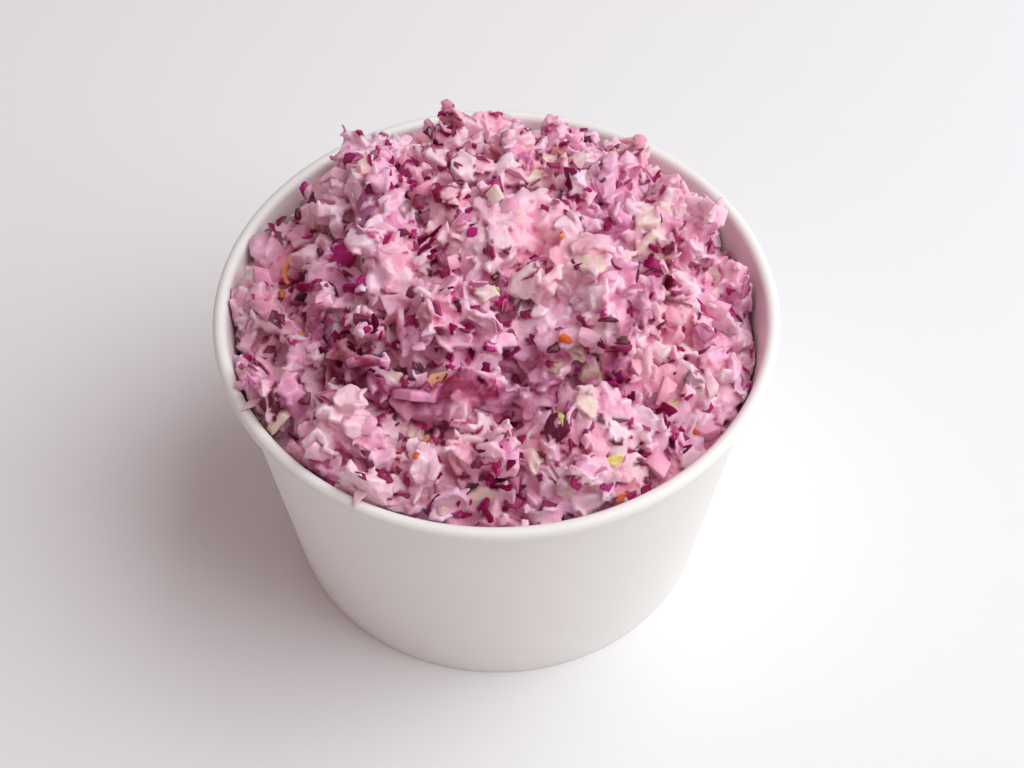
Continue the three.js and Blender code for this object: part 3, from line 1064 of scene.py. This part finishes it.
def top_at(x, y):
    """The heap's surface and normal at a place in millimetres."""
    start = Vector((x * MM, y * MM, 0.1))
    hits = [tree.ray_cast(start, Vector((0, 0, -1))) for tree in trees]
    return min((hit for hit in hits if hit[0]), key=lambda hit: hit[3])[:2]


def lay(name, shapes, spots, depth, flesh, skin=None):
    """One piece at each spot of x, y and size, sunk by a share of its size."""
    found = [top_at(x, y) for x, y, size in spots]
    sizes = np.array([size for x, y, size in spots]) * MM
    places = np.array([near[:] for near, normal in found])
    normals = np.array([normal[:] for near, normal in found]) + np.array(LAID_LEAN)
    normals /= np.linalg.norm(normals, axis=1)[:, None]
    places = places - normals * (sizes * depth)[:, None]
    crisp(name, shapes, places, places, normals, LAID_TILT, sizes, flesh, skin)


CARROT_SPOTS = [
    (-37, 2, 2.2), (-33, -9, 2.0), (11, -18, 2.6), (7, -2, 1.9), (11, 0, 1.5), (-6, 6, 2.0),
    (-23, 16, 1.9), (-13, -38, 1.7), (38, -16, 2.0), (36, -19, 1.9), (20, -40, 3.0), (33, -25, 2.3),
    (-2, 22, 1.6), (24, 14, 1.8), (-14, 30, 1.7), (8, 34, 1.6), (30, 24, 2.0), (-28, 30, 2.0),
]
GREEN_SPOTS = [
    (0, -9, 1.8), (28, -27, 3.6), (19, -36, 3.2), (10, -33, 2.2), (-20, 34, 2.6), (22, 32, 2.4),
]
RIB_SPOTS = [
    (0, 9, 4.6), (38, 7, 4.6), (15, 21, 4.4), (31, -32, 3.8), (-9, -42, 3.4), (-16, -21, 5.0),
    (-24, 36, 4),
]
CHUNK_SPOTS = [
    (-24, -31, 6.8), (-29, -23, 5.2), (35, -24, 6.0), (26, -35, 5.5), (-20, 24, 5.0),
    (-40, -2, 6.5), (4, 16, 6.0), (23, -20, 5.0), (12, -29, 5.0), (-12, 12, 5.5),
    (14, 30, 5.0), (-30, 20, 5.5), (40, 12, 5.0),
]
SKIN_SPOTS = [
    (4, -31, 3.6), (40, 1, 4.2), (-20, 24, 4.8), (-33, 26, 3.4), (4, -6, 3.0), (5, -11, 3.6),
    (-9, 31, 5.2), (-18, 0, 2.6), (-25, -11, 3.2), (17, 0, 3.4), (8, -42, 3.6), (4, -41, 3.0),
    (-18, -39, 3.2), (27, 1, 3.4),
]
TAN_SPOTS = [(-37, 8, 6.0), (12, 26, 3.5), (34, -8, 3.5)]
PALE_CARROT_SPOTS = [(-10, -24, 5.0), (-12, -30, 2.6), (-3, 20, 2.4)]
LAID_KINDS = {
    "carrot_bits": (chunks, CARROT_SPOTS, 0.08, any_of(CARROT)),
    "green_bits": (leaves, GREEN_SPOTS, 0.04, any_of(GREEN)),
    "white_rib_bits": (chunks, RIB_SPOTS, 0.08, any_of(CREAM)),
    "pink_slices": (chunks, CHUNK_SPOTS, 0.14, deeper_flesh),
    "large_skins": (leaves, SKIN_SPOTS, 0.03, mauve, some_skin),
    "pale_carrot_bits": (chunks, PALE_CARROT_SPOTS, 0.06, any_of(PALE_CARROT)),
    "tan_shreds": (shreds, TAN_SPOTS, -0.02, any_of(CARROT[2:])),
}
for name, row in LAID_KINDS.items():
    lay(name, *row)

# %% [markdown]
# ## Scraps on the rim
#
# A spoon never fills a tub cleanly: a few scraps stay behind on the rim. Each is a small slab
# across the curl, its long side dipping outwards, so it must not be pressed back into the tub
# as the others are.

# %% Leave scraps on the rim
RIM_SCRAPS = [(242, 46.6, 4.2), (209, 46.4, 3.6), (203, 46.2, 3.2), (118, 46.4, 3.0)]
SCRAP_DIP = 0.35


def rim_turn(bearing):
    """A turn whose long axis points outwards and dips."""
    outward = np.array([math.cos(bearing), math.sin(bearing), -SCRAP_DIP])
    outward /= np.linalg.norm(outward)
    along = np.array([-math.sin(bearing), math.cos(bearing), 0])
    return np.stack([outward, along, np.cross(outward, along)], 1)


bearings, radii, sizes = np.array(RIM_SCRAPS).T
bearings, radii, sizes = np.radians(bearings), radii * MM, sizes * MM
across, back = radii * np.cos(bearings), radii * np.sin(bearings)
places = np.stack([across, back, TUB_HEIGHT + 0.1 * sizes], 1)
turns = np.array([rim_turn(bearing) for bearing in bearings])
flesh = flesh_colours(places)
keep_edges(strewn("rim_scraps", chunks[:3], places, turns, sizes, flesh, pressed=False))

# %% [markdown]
# ## Finish: the dressing
#
# Every piece wears a film of dressing. The film is a node group that all the finishes share:
# it pales the colour unevenly, changes the gloss and raises the surface where it has
# gathered. It puts out only values that change over the surface.

# %% Node group: dressing film
def feed(tree, socket, value):
    """Sets a socket, or links it to another node's socket."""
    if isinstance(value, bpy.types.NodeSocket):
        tree.links.new(value, socket)
    else:
        socket.default_value = value


def feed_all(tree, node, **inputs):
    """Feeds a node's inputs by name."""
    for name, value in inputs.items():
        feed(tree, node.inputs[name.replace("_", " ")], value)


def add_node(tree, kind, place, **inputs):
    """Adds a node and feeds its inputs."""
    node = tree.nodes.new(kind)
    node.location = place
    feed_all(tree, node, **inputs)
    return node


def add_math(tree, operation, place, *values):
    """Adds a math node and gives its output."""
    node = add_node(tree, "ShaderNodeMath", place)
    node.operation = operation
    for socket, value in zip(node.inputs, values):
        feed(tree, socket, value)
    return node.outputs["Value"]


def add_noise(tree, place, vector, scale, detail, roughness, distortion=0.0):
    """Adds a noise texture and gives its output."""
    node = add_node(tree, "ShaderNodeTexNoise", place, Vector=vector, Scale=scale, Detail=detail)
    feed_all(tree, node, Roughness=roughness, Distortion=distortion)
    return node.outputs["Fac"]


def add_mix(tree, place, share, first, second):
    """Adds a mix of two colours and gives its output."""
    node = add_node(tree, "ShaderNodeMix", place)
    node.data_type = "RGBA"
    for number, value in ((0, share), (6, first), (7, second)):
        feed(tree, node.inputs[number], value)
    return node.outputs[2]


def make_film_group():
    """The film: uneven paling, gloss and height over a colour."""
    group = bpy.data.node_groups.new("dressing film", "ShaderNodeTree")
    for name, side, kind in (
        ("Colour", "INPUT", "Color"),
        ("Film", "INPUT", "Float"),
        ("Colour", "OUTPUT", "Color"),
        ("Roughness", "OUTPUT", "Float"),
        ("Height", "OUTPUT", "Float"),
    ):
        group.interface.new_socket(name, in_out=side, socket_type="NodeSocket" + kind)
    given = add_node(group, "NodeGroupInput", (-900, 0))
    place = add_node(group, "ShaderNodeTexCoord", (-1050, -300)).outputs["Object"]
    turned = add_node(group, "ShaderNodeMapping", (-850, -550), Vector=place)
    feed_all(group, turned, Rotation=(0.3, 0.2, 0.7), Scale=(1.0, 0.22, 0.6))
    smears = add_noise(group, (-650, 100), place, 420, 3, 0.6)
    beads = add_noise(group, (-650, -200), place, 1700, 2, 0.55)
    streaks = add_noise(group, (-650, -550), turned.outputs["Vector"], 1500, 2, 0.6, 1.2)
    patches = add_math(group, "MULTIPLY_ADD", (-500, 300), streaks, 0.45, smears)
    cover = add_node(group, "ShaderNodeMapRange", (-400, 100), Value=patches)
    feed_all(group, cover, From_Min=0.62, From_Max=0.92)
    share = add_math(group, "MULTIPLY", (-200, 100), cover.outputs["Result"], given.outputs["Film"])
    colour = given.outputs["Colour"]
    veiled = add_node(group, "ShaderNodeGamma", (-200, 350), Color=colour, Gamma=0.58)
    paled = add_mix(group, (0, 200), share, colour, veiled.outputs["Color"])
    gloss = add_node(group, "ShaderNodeMapRange", (0, -50), Value=beads, To_Min=0.22, To_Max=0.42)
    grain = add_math(group, "ADD", (-200, -350), beads, streaks)
    height = add_math(group, "MULTIPLY_ADD", (0, -300), smears, 1.6, grain)
    result = add_node(group, "NodeGroupOutput", (300, 0))
    feed_all(group, result, Colour=paled, Roughness=gloss.outputs["Result"], Height=height)
    return group


film_group = make_film_group()
print("film group:", len(film_group.nodes), "nodes")

# %% [markdown]
# ## Finishes of the cabbage
#
# Wet flesh lets light in and glows a little, a skin hardly does, and carrot is between them.
# One function makes all four, each with its own values. The light's way inside is short,
# because the pieces are small, and a thin coat gives the wet shine.

# %% Materials of the coleslaw
FILM_HEIGHT = 0.12 * MM


def dressed_material(name, film, subsurface, depth, bump, shine):
    """A wet finish that takes its colour from the attribute tint."""
    material = bpy.data.materials.new(name)
    material.use_nodes = True
    tree = material.node_tree
    shader = tree.nodes["Principled BSDF"]
    tint = add_node(tree, "ShaderNodeAttribute", (-700, 0))
    tint.attribute_name = "tint"
    coating = add_node(tree, "ShaderNodeGroup", (-450, 0))
    coating.node_tree = film_group
    feed_all(tree, coating, Colour=tint.outputs["Color"], Film=film)
    relief = add_node(tree, "ShaderNodeBump", (-220, -200), Height=coating.outputs["Height"])
    feed_all(tree, relief, Strength=bump, Distance=FILM_HEIGHT)
    feed_all(
        tree,
        shader,
        Base_Color=coating.outputs["Colour"],
        Roughness=coating.outputs["Roughness"],
        Normal=relief.outputs["Normal"],
        Subsurface_Weight=subsurface,
        Subsurface_Radius=(1.0, 0.6, 0.7),
        Subsurface_Scale=depth,
        Specular_IOR_Level=shine,
        Coat_Weight=0.4 * shine,
        Coat_Roughness=0.18,
    )
    return material


dressed = dressed_material("dressed cabbage", 0.6, 0.75, 0.9 * MM, 0.6, 0.28)
fresh_cut = dressed_material("cut rib", 0.5, 0.6, 0.5 * MM, 0.6, 0.28)
skin_finish = dressed_material("cabbage skin", 0.28, 0.1, 0.4 * MM, 0.35, 0.12)
carrot_finish = dressed_material("carrot", 0.2, 0.4, 0.6 * MM, 0.5, 0.2)

# %% [markdown]
# ## Finish: white paper
#
# The tub is white board with a thin sealing coat: softly matt, a little warm, with a faint
# grain of fibres that only shows at an angle.

# %% Paper
GRAIN_HEIGHT = 0.03 * MM


def paper_material(name, colour, roughness, mottling=0.03):
    """White board with a faint mottle and a fine fibre grain."""
    material = bpy.data.materials.new(name)
    material.use_nodes = True
    tree = material.node_tree
    shader = tree.nodes["Principled BSDF"]
    place = add_node(tree, "ShaderNodeTexCoord", (-900, 0)).outputs["Object"]
    mottle = add_noise(tree, (-650, 150), place, 90, 4, 0.5)
    grain = add_noise(tree, (-650, -150), place, 1400, 3, 0.5)
    darker, lighter = (*((1 - mottling) * colour), 1), (*colour, 1)
    mixed_white = add_mix(tree, (-350, 150), mottle, darker, lighter)
    relief = add_node(tree, "ShaderNodeBump", (-300, -150), Height=grain)
    feed_all(tree, relief, Strength=0.25, Distance=GRAIN_HEIGHT)
    feed_all(tree, shader, Base_Color=mixed_white, Normal=relief.outputs["Normal"])
    shader.inputs["Roughness"].default_value = roughness
    return material


coated_paper = paper_material("coated paper", linear(246, 243, 239), 0.5)
plain_paper = paper_material("plain paper", linear(236, 233, 228), 0.65)

# %% [markdown]
# ## Dressing the pieces
#
# Each piece gets its finish and rides on the tub's body. The construction model's tub wall,
# base and heap are hidden, so the smooth tub and the two scoops show in their place.

# %% Dress every piece
FINISHES = {
    "lower_scoop": dressed,
    "upper_scoop": dressed,
    "skin_bits": skin_finish,
    "hollow_skins": skin_finish,
    "large_skins": skin_finish,
    "carrot_bits": carrot_finish,
    "tan_shreds": carrot_finish,
    "pale_carrot_bits": carrot_finish,
}


def dress(piece, material):
    """Gives a piece its finish and its body."""
    piece.data.materials.clear()
    piece.data.materials.append(material)
    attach(piece, "root")


dress(tub, coated_paper)
dress(base, plain_paper)
heap_pieces = ["lower_scoop", "upper_scoop", *CRISP_KINDS, "rim_scraps", *LAID_KINDS]
for name in heap_pieces:
    dress(bpy.data.objects[name], FINISHES.get(name, fresh_cut))
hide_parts("tub_wall")
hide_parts("tub_base")
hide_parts("coleslaw")
print("pieces of the heap dressed:", len(heap_pieces))

# %% [markdown]
# ## Floor and light
#
# The tub stands on a plain pale floor. One large soft light stands to the right and a little
# behind, so a soft shadow falls to the left, and the bright surroundings fill the rest.

# %% Floor, light and surroundings
KEY_PLACE = Vector((0.525, -0.036, 0.713))

bpy.ops.mesh.primitive_plane_add(size=4, location=(0, 0, 0))
floor = bpy.context.object
floor.name = "floor"
floor.data.materials.append(paper_material("studio floor", linear(244, 242, 244), 0.8, 0.008))

bpy.ops.object.light_add(type="AREA")
key = bpy.context.object
key.name = "key"
key.data.shape = "SQUARE"
key.data.size = 0.98
key.data.energy = 9.3
key.data.color = (0.89, 0.983, 1.0)
look_at(key, KEY_PLACE, Vector((0, 0, 30 * MM)))

world = bpy.data.worlds.new("studio")
bpy.context.scene.world = world
world.use_nodes = True
surroundings = world.node_tree.nodes["Background"]
surroundings.inputs["Color"].default_value = (1.0, 0.76, 0.75, 1)
surroundings.inputs["Strength"].default_value = 0.315
bpy.context.scene.view_settings.view_transform = "Standard"
print("light at", [round(part, 3) for part in KEY_PLACE], "m, power", key.data.energy, "W")
